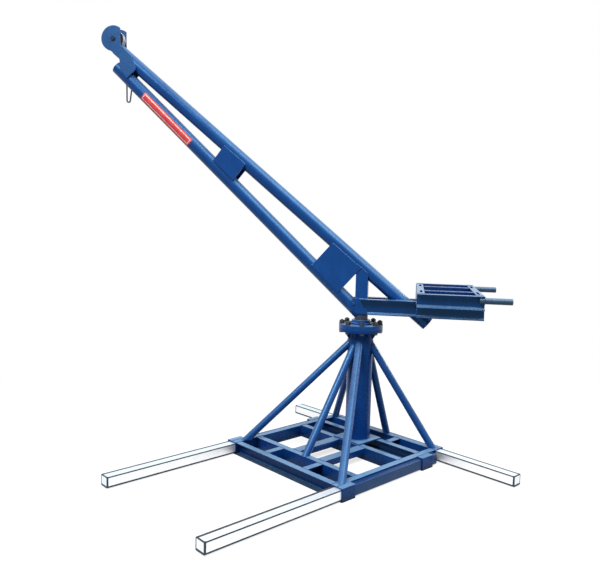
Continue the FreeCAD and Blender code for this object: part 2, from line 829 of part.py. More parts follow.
def rope_anchor():
    # Bent round bar, both legs welded to the underside of the lower chord
    left_station = anchor_setback - boom_reach
    top_left = chord_point(lower_chord, left_station)
    top_right = chord_point(lower_chord, left_station + anchor_spread)
    bend_centre = (top_left + top_right) / 2 - right * anchor_lean - up * (anchor_drop - anchor_bend)
    low_left = bend_centre - right * anchor_bend
    low_right = bend_centre + right * anchor_bend
    left_leg = rod(anchor_radius, top_left, low_left)
    right_leg = rod(anchor_radius, low_right, top_right)
    bend = Part.makeTorus(anchor_bend, anchor_radius, bend_centre, back)
    reach = anchor_bend + 2 * anchor_radius
    lower_half = box(bend_centre.x - reach, bend_centre.x + reach, -reach, reach,
                     bend_centre.z - reach, bend_centre.z)
    knees = [Part.makeSphere(anchor_radius, point) for point in (low_left, low_right)]
    body = bend.common(lower_half).fuse([left_leg, right_leg] + knees)
    chord = rod(tube_radius + weld_gap, chord_point(lower_chord, lower_chord_end),
                chord_point(lower_chord, 0))
    return body.cut(chord).removeSplitter()


def sign_band():
    # Thin curved plate on the near side of the lower chord
    top_station = sign_setback - boom_reach
    start, end = chord_point(lower_chord, top_station + sign_run), chord_point(lower_chord, top_station)
    along = (end - start).normalize()
    outer = rod(tube_radius + running_gap + sign_thickness, start, end)
    band = outer.cut(rod(tube_radius + running_gap, start - along * overrun, end + along * overrun))
    across = along.cross(back)
    reach = 2 * tube_radius
    limit = math.radians(sign_half_angle)
    wedge_face = sharp_face([
        start - along * overrun,
        start - along * overrun - back * reach - across * (reach * math.tan(limit)),
        start - along * overrun - back * reach + across * (reach * math.tan(limit)),
    ])
    wedge = wedge_face.extrude(along * ((end - start).Length + 2 * overrun))
    wedge.rotate(start, along, sign_tilt)
    return band.common(wedge)


# Rear beam and winch platform
def rear_beam():
    # Channel with its web against the boom's near side and its start cut on a slant
    start = beam_slant_top
    middle = vec((start + beam_end) / 2, -boom_plane, beam_bottom)
    bar = channel(beam_channel, beam_end - start, middle, -back)
    slant = sharp_face([
        vec(start - overrun, 0, beam_bottom - overrun),
        vec(beam_slant_bottom + overrun * (beam_slant_bottom - start) / beam_channel["height"], 0,
            beam_bottom - overrun),
        vec(start, 0, beam_top), vec(start - overrun, 0, beam_top),
    ])
    slant.translate(back * -2 * beam_flange_tip)
    return bar.cut(slant.extrude(back * (2 * beam_flange_tip)))


def platform_rail(size, web, floor):
    length = beam_end - platform_start
    return channel(size, length, vec(platform_middle, -web, floor), -back)


def cross_members():
    # Channels across the ends of the platform, open inwards, slotted in the top flange
    length = 2 * rail_web
    inner = channel(rail_channel, length, vec(platform_start, 0, beam_top), right)
    outer = channel(rail_channel, length, vec(beam_end, 0, beam_top), -right)
    flange_middle = (rail_channel["flange"] + rail_channel["web"]) / 2
    floor, top = platform_top - rail_channel["thickness"] - overrun, platform_top + overrun
    for side in (-1, 1):
        y = side * cross_slot_place
        inner = inner.cut(slot(cross_slot_radius, inner_slot_length, floor, top,
                               platform_start + flange_middle, y))
        outer = outer.cut(slot(cross_slot_radius, outer_slot_length, floor, top,
                               beam_end - flange_middle, y))
    return inner, outer


def lower_cross_members():
    length = lower_rail_web - beam_flange_tip
    y = (lower_rail_web + beam_flange_tip) / 2
    floor = beam_top - lower_rail_channel["height"]
    return [channel(lower_rail_channel, length, vec(x, side * y, floor), opening)
            for x, opening in ((platform_start, right), (beam_end, -right)) for side in (-1, 1)]


def winch_rail():
    # Flat bar between the cross members' top flanges, drilled for the winch feet
    start = platform_start + rail_channel["flange"] + weld_gap
    end = beam_end - rail_channel["flange"] - weld_gap
    y = -winch_rail_place
    bar = box(start, end, y - winch_rail_width / 2, y + winch_rail_width / 2,
              platform_top - winch_rail_thickness, platform_top)
    floor = platform_top - winch_rail_thickness - overrun
    holes = [disc(winch_hole_radius, floor, platform_top + overrun, platform_middle + side * step, y)
             for step in winch_hole_steps for side in (-1, 1)]
    return bar.cut(holes)


def push_bar():
    # Round bar lying in the rail, under its top flange, with a weld bead where it leaves the rail
    y = -(rail_web + rail_channel["web"] + push_bar_radius + weld_gap)
    z = platform_top - rail_channel["thickness"] - push_bar_radius - weld_gap
    bar = rod(push_bar_radius, vec(push_bar_start, y, z), vec(push_bar_start + push_bar_length, y, z))
    rims = [edge for edge in bar.Edges if edge.Curve.TypeId == "Part::GeomCircle"]
    bead = Part.makeCone(push_bar_radius + push_bar_weld, push_bar_radius, push_bar_weld,
                         vec(beam_end + weld_gap, y, z), right)
    return bar.makeChamfer(push_bar_chamfer, rims).fuse(bead)


# Assembly: every node is a list of solids
def base_nodes():
    front, rear = end_channels()
    bearer_face = bearer_spread + half_bar
    upper_rings, lower_rings = bearing_rings(upper_bearing_floor), bearing_rings(lower_bearing_floor)
    nodes = {
        "left_channel": [side_channel(-1)],
        "right_channel": [side_channel(1)],
        "front_channel": [front],
        "rear_channel": [rear],
        "outrigger_sockets": side_sockets() + rear_sockets(),
        "front_crossbar": [crossbar(crossbar_y, back)],
        "front_bearer": [crossbar(-bearer_spread, back)],
        "rear_bearer": [crossbar(bearer_spread, -back)],
        "front_short_bars": short_bars(front_short_bar_x, front_web, crossbar_y - half_bar),
        "rear_short_bars": short_bars(rear_short_bar_x, bearer_face, rear_web),
        "long_bars": long_bars(crossbar_y + half_bar, -bearer_face),
        "base_plate": [base_plate()],
        "column_tube": [column()],
        "column_gussets": gussets(),
        "lower_flange": [lower_flange()],
        "bearing_housing": [bearing_housing()],
        "housing_cap": [housing_cap()],
        "flange_bolts": flange_bolts(),
        "flange_washers": flange_washers(),
        "flange_nuts": flange_nuts(),
        "cap_screws": cap_screws(),
        "bearing_outer_rings": [upper_rings[0], lower_rings[0]],
        "bearing_spacer": [bearing_spacer()],
        "bearing_balls": bearing_balls(),
        "thrust_seat_washer": [thrust_washers()[0]],
        "left_outrigger": side_outrigger(-1),
        "right_outrigger": side_outrigger(1),
        "rear_outrigger": rear_outrigger(),
    }
    for feet, top in ((corner_brace_feet, corner_brace_top), (middle_brace_feet, middle_brace_top)):
        nodes.update({name: [brace(x, y, top)] for name, (x, y) in feet.items()})
    for solids in nodes.values():
        for solid in solids:
            solid.rotate(centre, up, base_turn)
    return nodes


def boom_nodes():
    lower_floor = beam_top - lower_rail_channel["height"]
    return {
        "kingpin": [kingpin()],
        "kingpin_nut": [kingpin_nut()],
        "bearing_inner_rings": [bearing_rings(floor)[1]
                                for floor in (upper_bearing_floor, lower_bearing_floor)],
        "thrust_turning_washer": [thrust_washers()[1]],
        "hub_tube": [hub()],
        "post": [post()],
        "upper_chord": upper_tube(),
        "lower_chord": lower_tube(),
        "lower_web_plates": pair(web_plate(lower_web_plate)),
        "upper_web_plates": pair(web_plate(upper_web_plate)),
        "cheek_plates": pair(cheek_plate()),
        "cheek_bolts": pair(cheek_bolt()),
        "rear_beams": pair(rear_beam()),
        "head_plates": pair(head_plate()),
        "sheave": [sheave()],
        "sheave_bush": [sheave_bush()],
        "sheave_axle": [sheave_axle()],
        "axle_ring": [axle_ring()],
        "rope_anchor": [rope_anchor()],
        "sign_band": [sign_band()],
        "upper_rails": pair(platform_rail(rail_channel, rail_web, beam_top)),
        "lower_rails": pair(platform_rail(lower_rail_channel, lower_rail_web, lower_floor)),
        "end_cross_members": list(cross_members()),
        "lower_cross_members": lower_cross_members(),
        "winch_rails": pair(winch_rail()),
        "push_bars": pair(push_bar()),
    }


def main():
    os.makedirs("parts", exist_ok=True)
    for name, solids in {**base_nodes(), **boom_nodes()}.items():
        shape = solids[0] if len(solids) == 1 else Part.makeCompound(solids)
        shape.exportStep("parts/" + name + ".step")


main()
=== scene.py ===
import bpy
import bmesh
import math
import random
from mathutils import Matrix, Vector
from mathutils.bvhtree import BVHTree


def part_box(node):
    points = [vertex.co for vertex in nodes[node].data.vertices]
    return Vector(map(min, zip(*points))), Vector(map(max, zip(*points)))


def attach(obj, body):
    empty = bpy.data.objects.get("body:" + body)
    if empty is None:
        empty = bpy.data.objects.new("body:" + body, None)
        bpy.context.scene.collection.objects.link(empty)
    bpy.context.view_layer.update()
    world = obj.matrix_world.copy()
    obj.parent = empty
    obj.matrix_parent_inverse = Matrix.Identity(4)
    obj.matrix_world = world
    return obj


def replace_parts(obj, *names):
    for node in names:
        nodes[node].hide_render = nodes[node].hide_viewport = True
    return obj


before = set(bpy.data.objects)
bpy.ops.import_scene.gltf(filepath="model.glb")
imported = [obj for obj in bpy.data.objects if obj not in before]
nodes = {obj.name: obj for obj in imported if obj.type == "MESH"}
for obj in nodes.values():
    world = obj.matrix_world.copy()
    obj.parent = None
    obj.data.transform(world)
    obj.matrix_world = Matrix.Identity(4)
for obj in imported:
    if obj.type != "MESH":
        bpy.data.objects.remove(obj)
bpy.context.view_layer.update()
print("frame loaded:", len(nodes), "nodes")

zAxis = Vector((0, 0, 1))
baseTurn = 37.3          # degrees, brings the base's own x and y on the axes
random.seed(7)


# camera

camera = {
    "place": (0.3091, -4.2069, 1.4901),
    "turn": 9.80,        # degrees left of +Y
    "tilt": -5.03,       # degrees up from level
    "lean": 1.38,        # degrees to the left
    "lens": 38.22,
    "sensor": 36.0,
    "farEnd": 60,
}


def turnedBy(degrees, axis):
    return Matrix.Rotation(math.radians(degrees), 4, axis)


def makeCamera():
    data = bpy.data.cameras.new("photoCamera")
    data.sensor_fit = "HORIZONTAL"
    data.sensor_width = camera["sensor"]
    data.lens = camera["lens"]
    data.clip_end = camera["farEnd"]
    rig = bpy.data.objects.new("photoCamera", data)
    bpy.context.scene.collection.objects.link(rig)
    upright = turnedBy(camera["turn"], "Z") @ turnedBy(90 + camera["tilt"], "X")
    rig.matrix_world = Matrix.Translation(camera["place"]) @ upright @ turnedBy(camera["lean"], "Z")
    bpy.context.scene.camera = rig


# node material helpers

edgeSeek = {
    "samples": 6,
    "clear": 0.99,       # cosine between the rounded and the flat normal where an edge starts to show
    "sharp": 0.82,       # and where it shows in full
}


class Graph:
    # a node tree, with short calls to add and join nodes

    def __init__(self, tree):
        self.tree = tree

    def add(self, kind, **settings):
        node = self.tree.nodes.new(kind)
        for key, value in settings.items():
            setattr(node, key, value)
        return node

    def join(self, output, node, socket):
        self.tree.links.new(output, node.inputs[socket])

    def setSocket(self, node, socket, value):
        # links an output, or writes a plain value
        if isinstance(value, bpy.types.NodeSocket):
            self.join(value, node, socket)
        else:
            node.inputs[socket].default_value = value

    def ramp(self, value, low, high, start=0.0, end=1.0):
        node = self.add("ShaderNodeMapRange", clamp=True)
        self.setSocket(node, "Value", value)
        for socket, level in zip(("From Min", "From Max", "To Min", "To Max"), (low, high, start, end)):
            node.inputs[socket].default_value = level
        return node.outputs["Result"]

    def math(self, operation, first, second=None, clamp=False):
        node = self.add("ShaderNodeMath", operation=operation, use_clamp=clamp)
        self.setSocket(node, 0, first)
        if second is not None:
            self.setSocket(node, 1, second)
        return node.outputs[0]

    def chain(self, operation, first, *others):
        for value in others:
            first = self.math(operation, first, value)
        return first

    def mix(self, factor, first, second):
        node = self.add("ShaderNodeMix", data_type="RGBA")
        for index, value in ((0, factor), (6, first), (7, second)):
            if isinstance(value, bpy.types.NodeSocket):
                self.tree.links.new(value, node.inputs[index])
            else:
                node.inputs[index].default_value = value if index == 0 else (*value, 1)
        return node.outputs[2]

    def parts(self, vector):
        split = self.add("ShaderNodeSeparateXYZ")
        self.join(vector, split, 0)
        return split.outputs


class Shader(Graph):
    # one material's node tree, with the patterns and the edge mask that the finishes share, for worn edges
    # and painted edge highlights

    def __init__(self, name):
        self.material = bpy.data.materials.new(name)
        self.material.use_nodes = True
        self.tree = self.material.node_tree
        self.surface = self.tree.nodes["Principled BSDF"]
        self.coords = self.add("ShaderNodeTexCoord").outputs["Object"]

    def noise(self, pattern):
        texture = self.add("ShaderNodeTexNoise")
        texture.inputs["Scale"].default_value = pattern["scale"]
        texture.inputs["Detail"].default_value = pattern["detail"]
        texture.inputs["Roughness"].default_value = pattern.get("rough", 0.55)
        source = self.coords
        if "stretch" in pattern:
            mapping = self.add("ShaderNodeMapping")
            mapping.inputs["Scale"].default_value = pattern["stretch"]
            self.join(source, mapping, "Vector")
            source = mapping.outputs["Vector"]
        self.join(source, texture, "Vector")
        return texture.outputs["Fac"]

    def spots(self, pattern):
        # noise cut to the pattern's span
        levels = pattern.get("levels", (0.0, 1.0))
        return self.ramp(self.noise(pattern), *pattern["span"], *levels)

    def facing(self):
        # how far the surface looks upwards, -1 to 1
        return self.parts(self.add("ShaderNodeNewGeometry").outputs["Normal"])["Z"]

    def rounded(self, radius):
        bevel = self.add("ShaderNodeBevel", samples=edgeSeek["samples"])
        bevel.inputs["Radius"].default_value = radius
        return bevel.outputs["Normal"]

    def edges(self, radius):
        # 1 on sharp edges and corners, fading to 0 within radius
        dot = self.add("ShaderNodeVectorMath", operation="DOT_PRODUCT")
        self.join(self.rounded(radius), dot, 0)
        self.join(self.add("ShaderNodeNewGeometry").outputs["True Normal"], dot, 1)
        return self.ramp(dot.outputs["Value"], edgeSeek["clear"], edgeSeek["sharp"])

    def bump(self, height, strength, distance, rounding=None):
        node = self.add("ShaderNodeBump")
        node.inputs["Strength"].default_value = strength
        node.inputs["Distance"].default_value = distance
        self.join(height, node, "Height")
        if rounding:
            self.join(self.rounded(rounding), node, "Normal")
        self.join(node.outputs["Normal"], self.surface, "Normal")


# finishes

paint = {
    "colour": (0.0022, 0.030, 0.160),
    "faded": (0.0040, 0.046, 0.205),
    "deep": (0.0014, 0.020, 0.115),
    # pale blue mixed onto upward faces: painted top light and sky reflection
    "paintedTopLight": (0.125, 0.250, 0.400),
    "dustAndShade": (0.20, 0.27, 0.33),
    # dark near the floor: grime, and painted shade
    "grime": (0.0030, 0.0055, 0.0110),
    "chip": (0.045, 0.050, 0.062),
    "roughness": (0.22, 0.36),
    "specular": 0.5,
    "sheen": (0.25, 0.65, 1.0, 1.0),
}
# base: the low-down darkening is dark blue, grime with painted shade in the channel recesses
baseCoat = paint | {"specular": 0.2, "grime": (0.0022, 0.0075, 0.0240)}
# head plates: a paler, greyer copy of the blue, painted light
litHeadCoat = paint | {
    "colour": (0.013, 0.050, 0.165), "faded": (0.022, 0.070, 0.205), "deep": (0.008, 0.036, 0.122),
}
# winch rails: dark blue where the others take dust on top, painted shade within the platform
shadedRailCoat = paint | {"specular": 0.2, "dustAndShade": (0.020, 0.055, 0.120)}
handled = paint | {
    "colour": (0.016, 0.036, 0.075), "faded": (0.036, 0.066, 0.110), "deep": (0.008, 0.020, 0.045),
    "sheen": (0.7, 0.85, 1.0, 1.0), "specular": 0.3,
}

enamel = {
    "patches": {"scale": 5.0, "detail": 5, "rough": 0.6, "span": (0.35, 0.68)},
    "brushed": {"scale": 26.0, "detail": 3, "stretch": (1, 1, 0.25), "span": (0.3, 0.75)},
    "brushedShare": 0.45,
    # how far up a face looks, and its patchiness, for the painted top light
    "topLightFacing": (0.15, 1.0),
    "topLightPatches": (0.8, 1.0),
    "settled": {"scale": 38.0, "detail": 6, "rough": 0.7, "span": (0.42, 0.80)},
    "dustFacing": (0.45, 0.95),
    "dustShare": 0.30,
    "dustRoughness": 0.4,
    "grimeAndShadeSplashes": {"scale": 18.0, "detail": 6, "rough": 0.7, "span": (0.25, 0.65), "levels": (0.7, 1.0)},
    "grimeAndShadeHeight": 0.055,
    "edgeWidth": 0.0022,
    # share of the paler colour along the edges: painted highlight
    "edgeShare": 0.18,
    "broken": {"scale": 90.0, "detail": 5, "rough": 0.65, "span": (0.60, 0.68)},
    "brokenShare": 0.85,
    "specks": {"scale": 140.0, "detail": 2, "rough": 0.4, "span": (0.765, 0.79)},
    "speckShare": 0.5,
    "gloss": {"scale": 60.0, "detail": 4, "span": (0.3, 0.7)},
    "peel": {"scale": 420.0, "detail": 2, "rough": 0.4},
    "peelHeight": 0.35,
    "brushMarks": {"scale": 55.0, "detail": 4, "stretch": (1, 1, 0.3)},
    "chipDepth": 0.8,
    "bump": {"strength": 0.12, "distance": 0.0012, "rounding": 0.0016},
}


def paintedSteel(name, tone=1.0, wear=1.0, topLightShare=0.70, grime=0.0, colours=paint):
    # enamel brushed over steel: patchy colour, orange peel, chipped edges and dust on top; painted top light
    # on upward faces, painted highlight along the edges, and where asked painted shade with grime low down
    shader = Shader(name)
    deep, plain, faded = ([channel * tone for channel in colours[key]]
                          for key in ("deep", "colour", "faded"))
    patches = shader.spots(enamel["patches"])
    brushed = shader.math("MULTIPLY", shader.spots(enamel["brushed"]), enamel["brushedShare"])
    colour = shader.mix(brushed, shader.mix(patches, plain, faded), deep)
    facing = shader.facing()
    # upward faces turn pale blue in patches: painted top light
    topLit = shader.chain("MULTIPLY", shader.ramp(facing, *enamel["topLightFacing"]),
                          shader.ramp(patches, 0, 1, *enamel["topLightPatches"]), topLightShare)
    colour = shader.mix(topLit, colour, colours["paintedTopLight"])
    # grey dust on upward faces, in patches; on the winch rails it is dark blue, painted shade
    dustAndShade = shader.chain("MULTIPLY", shader.ramp(facing, *enamel["dustFacing"]),
                        shader.spots(enamel["settled"]), enamel["dustShare"])
    colour = shader.mix(dustAndShade, colour, colours["dustAndShade"])
    # darker towards the floor in splashes: grime, and painted shade over the channels' bottom flanges in
    # their recesses
    if grime:
        low = shader.ramp(shader.parts(shader.coords)["Z"], enamel["grimeAndShadeHeight"], 0.0)
        grimeAndShadeSplashes = shader.chain("MULTIPLY", low, shader.spots(enamel["grimeAndShadeSplashes"]), grime)
        colour = shader.mix(grimeAndShadeSplashes, colour, colours["grime"])
    edge = shader.edges(enamel["edgeWidth"])
    chips = shader.math("MULTIPLY", shader.math("MULTIPLY", edge, shader.spots(enamel["broken"])),
                        enamel["brokenShare"] * wear, clamp=True)
    specks = shader.math("MULTIPLY", shader.spots(enamel["specks"]), enamel["speckShare"] * wear)
    chips = shader.math("MAXIMUM", chips, specks)
    # paler along every edge: painted highlight
    colour = shader.mix(shader.math("MULTIPLY", edge, enamel["edgeShare"]), colour, faded)
    shader.join(shader.mix(chips, colour, colours["chip"]), shader.surface, "Base Color")
    gloss = shader.spots(enamel["gloss"] | {"levels": colours["roughness"]})
    dusty = shader.math("MULTIPLY", dustAndShade, enamel["dustRoughness"])
    shader.join(shader.math("ADD", gloss, dusty, clamp=True), shader.surface, "Roughness")
    shader.surface.inputs["Specular IOR Level"].default_value = colours["specular"]
    shader.surface.inputs["Specular Tint"].default_value = colours["sheen"]
    peel = shader.math("MULTIPLY", shader.noise(enamel["peel"]), enamel["peelHeight"])
    height = shader.math("ADD", peel, shader.noise(enamel["brushMarks"]))
    height = shader.math("SUBTRACT", height, shader.math("MULTIPLY", chips, enamel["chipDepth"]))
    shader.bump(height, **enamel["bump"])
    return shader.material


steelFinish = {
    "blackened": {"colour": (0.018, 0.020, 0.026), "bright": (0.11, 0.12, 0.14), "rust": (0.10, 0.045, 0.02),
                  "roughness": (0.36, 0.60), "metal": 0.75},
    "machined": {"colour": (0.30, 0.31, 0.33), "bright": (0.58, 0.59, 0.60), "rust": (0.20, 0.09, 0.04),
                 "roughness": (0.22, 0.42), "metal": 1.0},
    "collar": {"colour": (0.035, 0.040, 0.055), "bright": (0.16, 0.17, 0.20), "rust": (0.10, 0.05, 0.025),
               "roughness": (0.30, 0.50), "metal": 0.9},
    "sheave": {"colour": (0.16, 0.18, 0.21), "bright": (0.50, 0.52, 0.55), "rust": (0.12, 0.07, 0.04),
               "roughness": (0.26, 0.45), "metal": 0.9},
    "bronze": {"colour": (0.42, 0.26, 0.10), "bright": (0.66, 0.46, 0.22), "rust": (0.12, 0.07, 0.03),
               "roughness": (0.25, 0.45), "metal": 1.0},
}

steelGrain = {
    "cloudy": {"scale": 40.0, "detail": 6, "span": (0.3, 0.75)},
    "cloudyShare": 0.5,
    "fine": {"scale": 600.0, "detail": 2, "stretch": (1, 1, 6), "span": (0.35, 0.7)},
    "edgeWidth": 0.0012,
    "edgeShare": 0.7,
    "rust": {"scale": 70.0, "detail": 7, "rough": 0.7, "span": (0.62, 0.74)},
    "rustShare": 0.35,
    "rustRoughness": 0.3,
    "bump": {"strength": 0.12, "distance": 0.0004, "rounding": 0.0008},
}


def bareSteel(name, finish):
    # turned or blackened steel with oil film, brighter edges and a little rust
    shader = Shader(name)
    cloudy = shader.math("MULTIPLY", shader.spots(steelGrain["cloudy"]), steelGrain["cloudyShare"])
    colour = shader.mix(cloudy, finish["colour"], finish["bright"])
    edge = shader.math("MULTIPLY", shader.edges(steelGrain["edgeWidth"]), steelGrain["edgeShare"])
    colour = shader.mix(edge, colour, finish["bright"])
    rust = shader.spots(steelGrain["rust"])
    colour = shader.mix(shader.math("MULTIPLY", rust, steelGrain["rustShare"]), colour, finish["rust"])
    shader.join(colour, shader.surface, "Base Color")
    fine = shader.spots(steelGrain["fine"])
    rough = shader.math("ADD", shader.ramp(fine, 0.0, 1.0, *finish["roughness"]),
                        shader.math("MULTIPLY", rust, steelGrain["rustRoughness"]), clamp=True)
    shader.join(rough, shader.surface, "Roughness")
    shader.surface.inputs["Metallic"].default_value = finish["metal"]
    shader.bump(fine, **steelGrain["bump"])
    return shader.material


outriggerFinish = {
    "colour": (0.93, 0.935, 0.94),
    "shade": (0.86, 0.87, 0.88),
    "scuffed": (0.45, 0.46, 0.48),
    "line": (0.020, 0.022, 0.026),
    "greased": (0.002, 0.022, 0.100),
    "metal": 0.8,
    "topLine": (0.004, 0.022),       # across the top beside a level edge, narrow and wide
    "sideLine": (0.0071, 0.0125),    # down the side from the top edge, up from the bottom edge
    "uprightLine": 0.0082,
    "lineBlur": 0.0004,
    "greaseBlur": 0.002,
    "grime": {"scale": 9.0, "detail": 6, "rough": 0.65, "span": (0.42, 0.80)},
    "grimeShare": 0.55,
    "scuffs": {"scale": 30.0, "detail": 5, "stretch": (1, 6, 6), "span": (0.70, 0.76)},
    "scuffShare": 0.25,
    "worn": {"scale": 70.0, "detail": 4, "span": (0.20, 0.32), "levels": (0.85, 1.0)},
    "roughness": (0.38, 0.55),
    "grain": {"scale": 300.0, "detail": 3},
    "bump": {"strength": 0.12, "distance": 0.0006},
}


def outlinedPaint(name, centre, halfSize, greased, wideSide):
    # white enamel with a dark line along every edge of the tube, dark grease where it runs in its socket
    finish = outriggerFinish
    shader = Shader(name)
    mapping = shader.add("ShaderNodeMapping", vector_type="POINT")
    mapping.inputs["Rotation"].default_value = (0, 0, math.radians(baseTurn))
    shader.join(shader.coords, mapping, "Vector")
    place = shader.parts(mapping.outputs["Vector"])
    offsets = [shader.math("SUBTRACT", place[axis], middle) for axis, middle in zip("XYZ", centre)]

    def beside(axis, width, side=0):
        # within width of the faces across an axis, or of the one that side (1 or -1) names
        start = halfSize[axis] - width
        if side:
            offset = shader.math("MULTIPLY", offsets[axis], side)
        else:
            offset = shader.math("ABSOLUTE", offsets[axis])
        return shader.ramp(offset, start - finish["lineBlur"], start + finish["lineBlur"])

    narrow, wide = finish["topLine"]
    fromTop, fromBottom = finish["sideLine"]
    axis, side = wideSide
    topLines = shader.chain("MAXIMUM", beside(0, narrow), beside(1, narrow), beside(axis, wide, side))
    sideLines = shader.math("MAXIMUM", beside(2, fromTop), beside(2, fromBottom, -1))
    upright = shader.math("MULTIPLY", beside(0, finish["uprightLine"]), beside(1, finish["uprightLine"]))
    lines = shader.math("MAXIMUM", upright, shader.math("MULTIPLY", topLines, sideLines))
    grime = shader.spots(finish["grime"])
    greyed = shader.math("MULTIPLY", grime, finish["grimeShare"])
    colour = shader.mix(greyed, finish["colour"], finish["shade"])
    scuffs = shader.math("MULTIPLY", shader.spots(finish["scuffs"]), finish["scuffShare"])
    colour = shader.mix(scuffs, colour, finish["scuffed"])
    drawn = shader.math("MULTIPLY", lines, shader.spots(finish["worn"]))
    colour = shader.mix(drawn, colour, finish["line"])
    axis, start, end = greased
    blur = finish["greaseBlur"]
    smear = shader.math("MULTIPLY", shader.ramp(place[axis], start - blur, start + blur),
                        shader.ramp(place[axis], end + blur, end - blur))
    shader.join(shader.mix(smear, colour, finish["greased"]), shader.surface, "Base Color")
    painted = shader.math("SUBTRACT", 1.0, shader.math("MAXIMUM", smear, lines))
    shader.join(shader.math("MULTIPLY", painted, finish["metal"]), shader.surface, "Metallic")
    shader.surface.inputs["Specular Tint"].default_value = paint["sheen"]
    shader.join(shader.ramp(grime, 0, 1, *finish["roughness"]), shader.surface, "Roughness")
    shader.bump(shader.noise(finish["grain"]), **finish["bump"])
    return shader.material


signFinish = {
    "red": (0.50, 0.022, 0.026),
    "faded": (0.62, 0.06, 0.055),
    "border": (0.80, 0.74, 0.72),
    "slope": 0.9465,         # of the chord that carries it
    "height": 0.921,         # of the chord's axis over the column's axis
    "ends": (-1.520, -1.183),
    "middle": -0.0073,       # below the chord's axis
    "halfWidth": 0.0286,
    "margin": 0.009,
    "borderWidth": 0.004,
    "blur": 0.0003,
    "patches": {"scale": 30.0, "detail": 6, "span": (0.35, 0.75)},
    "worn": {"scale": 120.0, "detail": 4, "span": (0.34, 0.44)},
    "roughness": (0.28, 0.44),
    "grain": {"scale": 380.0, "detail": 2},
    "bump": {"strength": 0.10, "distance": 0.0005},
}


def signPaint(name):
    # plain red sign with a pale border line set in from its edge
    finish = signFinish
    shader = Shader(name)
    slope = finish["slope"]
    unit = math.hypot(1, slope)
    place = shader.parts(shader.coords)
    along = shader.math("SUBTRACT", shader.math("MULTIPLY", place["Z"], slope / unit),
                        shader.math("MULTIPLY", place["X"], 1 / unit))
    across = shader.math("ADD", shader.math("MULTIPLY", place["Z"], 1 / unit),
                         shader.math("MULTIPLY", place["X"], slope / unit))
    start, end = (finish["height"] * slope / unit - x * unit for x in finish["ends"])

    def within(value, middle, half):
        # how far inside the two sides, which lie half away from the middle
        off = shader.math("ABSOLUTE", shader.math("SUBTRACT", value, middle))
        return shader.math("SUBTRACT", half, off)

    inset = shader.math("MINIMUM", within(along, (start + end) / 2, abs(start - end) / 2),
                        within(across, finish["height"] / unit + finish["middle"], finish["halfWidth"]))

    def inside(width):
        return shader.ramp(inset, width - finish["blur"], width + finish["blur"])

    borderEnd = finish["margin"] + finish["borderWidth"]
    border = shader.math("SUBTRACT", inside(finish["margin"]), inside(borderEnd))
    patches = shader.spots(finish["patches"])
    colour = shader.mix(patches, finish["red"], finish["faded"])
    drawn = shader.math("MULTIPLY", border, shader.spots(finish["worn"]))
    colour = shader.mix(drawn, colour, finish["border"])
    shader.join(colour, shader.surface, "Base Color")
    shader.join(shader.ramp(patches, 0, 1, *finish["roughness"]), shader.surface, "Roughness")
    shader.bump(shader.noise(finish["grain"]), **finish["bump"])
    return shader.material


# stage and light

light = {
    "sky": 0.42,
    "floorSize": 30,
    "floorBounce": (0.09, 0.09, 0.10),
    "floorWhite": (0.98, 0.98, 0.98),
    "floorGlow": (0.70, 1.0),
    "floorFade": (1.7, 3.6),     # metres from the column
    "floorRoughness": 0.9,
    "floorSpecular": 0.1,
    "lamps": {
        "keyLight": {"place": (-4.6, -7.2, 9.4), "aim": (0, 0, 1.0), "size": 5.0, "power": 1370},
        "topLight": {"place": (2.6, -2.2, 6.6), "aim": (0, 0, 0.8), "size": 4.5, "power": 370},
        "backLight": {"place": (6.2, 5.2, 4.6), "aim": (0, 0, 0.8), "size": 4.0, "power": 420},
    },
}


def seenBackground(graph):
    # 1 for camera, mirror and glass rays, 0 for the rays that light the object
    path = graph.add("ShaderNodeLightPath").outputs
    return graph.chain("MAXIMUM", path["Is Camera Ray"], path["Is Glossy Ray"], path["Is Transmission Ray"])


def makeWorld():
    world = bpy.data.worlds.new("studioWorld")
    bpy.context.scene.world = world
    world.use_nodes = True
    graph = Graph(world.node_tree)
    background = graph.tree.nodes["Background"]
    background.inputs["Color"].default_value = (1, 1, 1, 1)
    graph.join(graph.ramp(seenBackground(graph), 0, 1, light["sky"], 1.0), background, "Strength")


def floorPaint():
    # pale floor that glows white further from the column, for the rays that see it
    shader = Shader("paleFloor")
    shader.surface.inputs["Roughness"].default_value = light["floorRoughness"]
    shader.surface.inputs["Specular IOR Level"].default_value = light["floorSpecular"]
    seen = seenBackground(shader)
    shader.join(shader.mix(seen, light["floorBounce"], light["floorWhite"]), shader.surface, "Base Color")
    away = shader.add("ShaderNodeVectorMath", operation="LENGTH")
    shader.join(shader.coords, away, 0)
    glow = shader.ramp(away.outputs["Value"], *light["floorFade"], *light["floorGlow"])
    blend = shader.add("ShaderNodeMixShader")
    shader.join(shader.math("MULTIPLY", seen, glow), blend, 0)
    shader.join(shader.surface.outputs[0], blend, 1)
    shader.join(shader.add("ShaderNodeEmission").outputs[0], blend, 2)
    shader.join(blend.outputs[0], shader.tree.nodes["Material Output"], "Surface")
    return shader.material


def makeFloor():
    form = bmesh.new()
    bmesh.ops.create_grid(form, x_segments=2, y_segments=2, size=light["floorSize"])
    mesh = bpy.data.meshes.new("floor")
    form.to_mesh(mesh)
    form.free()
    floor = bpy.data.objects.new("floor", mesh)
    bpy.context.scene.collection.objects.link(floor)
    mesh.materials.append(floorPaint())


def makeLamps():
    for name, lamp in light["lamps"].items():
        data = bpy.data.lights.new(name, "AREA")
        data.shape = "DISK"
        data.size = lamp["size"]
        data.energy = lamp["power"]
        rig = bpy.data.objects.new(name, data)
        bpy.context.scene.collection.objects.link(rig)
        away = Vector(lamp["place"]) - Vector(lamp["aim"])
        aimed = away.to_track_quat("Z", "Y").to_matrix().to_4x4()
        rig.matrix_world = Matrix.Translation(lamp["place"]) @ aimed


makeCamera()
makeWorld()
makeFloor()
makeLamps()
bpy.context.scene.view_settings.view_transform = "Standard"
print("stage, lights and camera made")


# materials on the CAD nodes

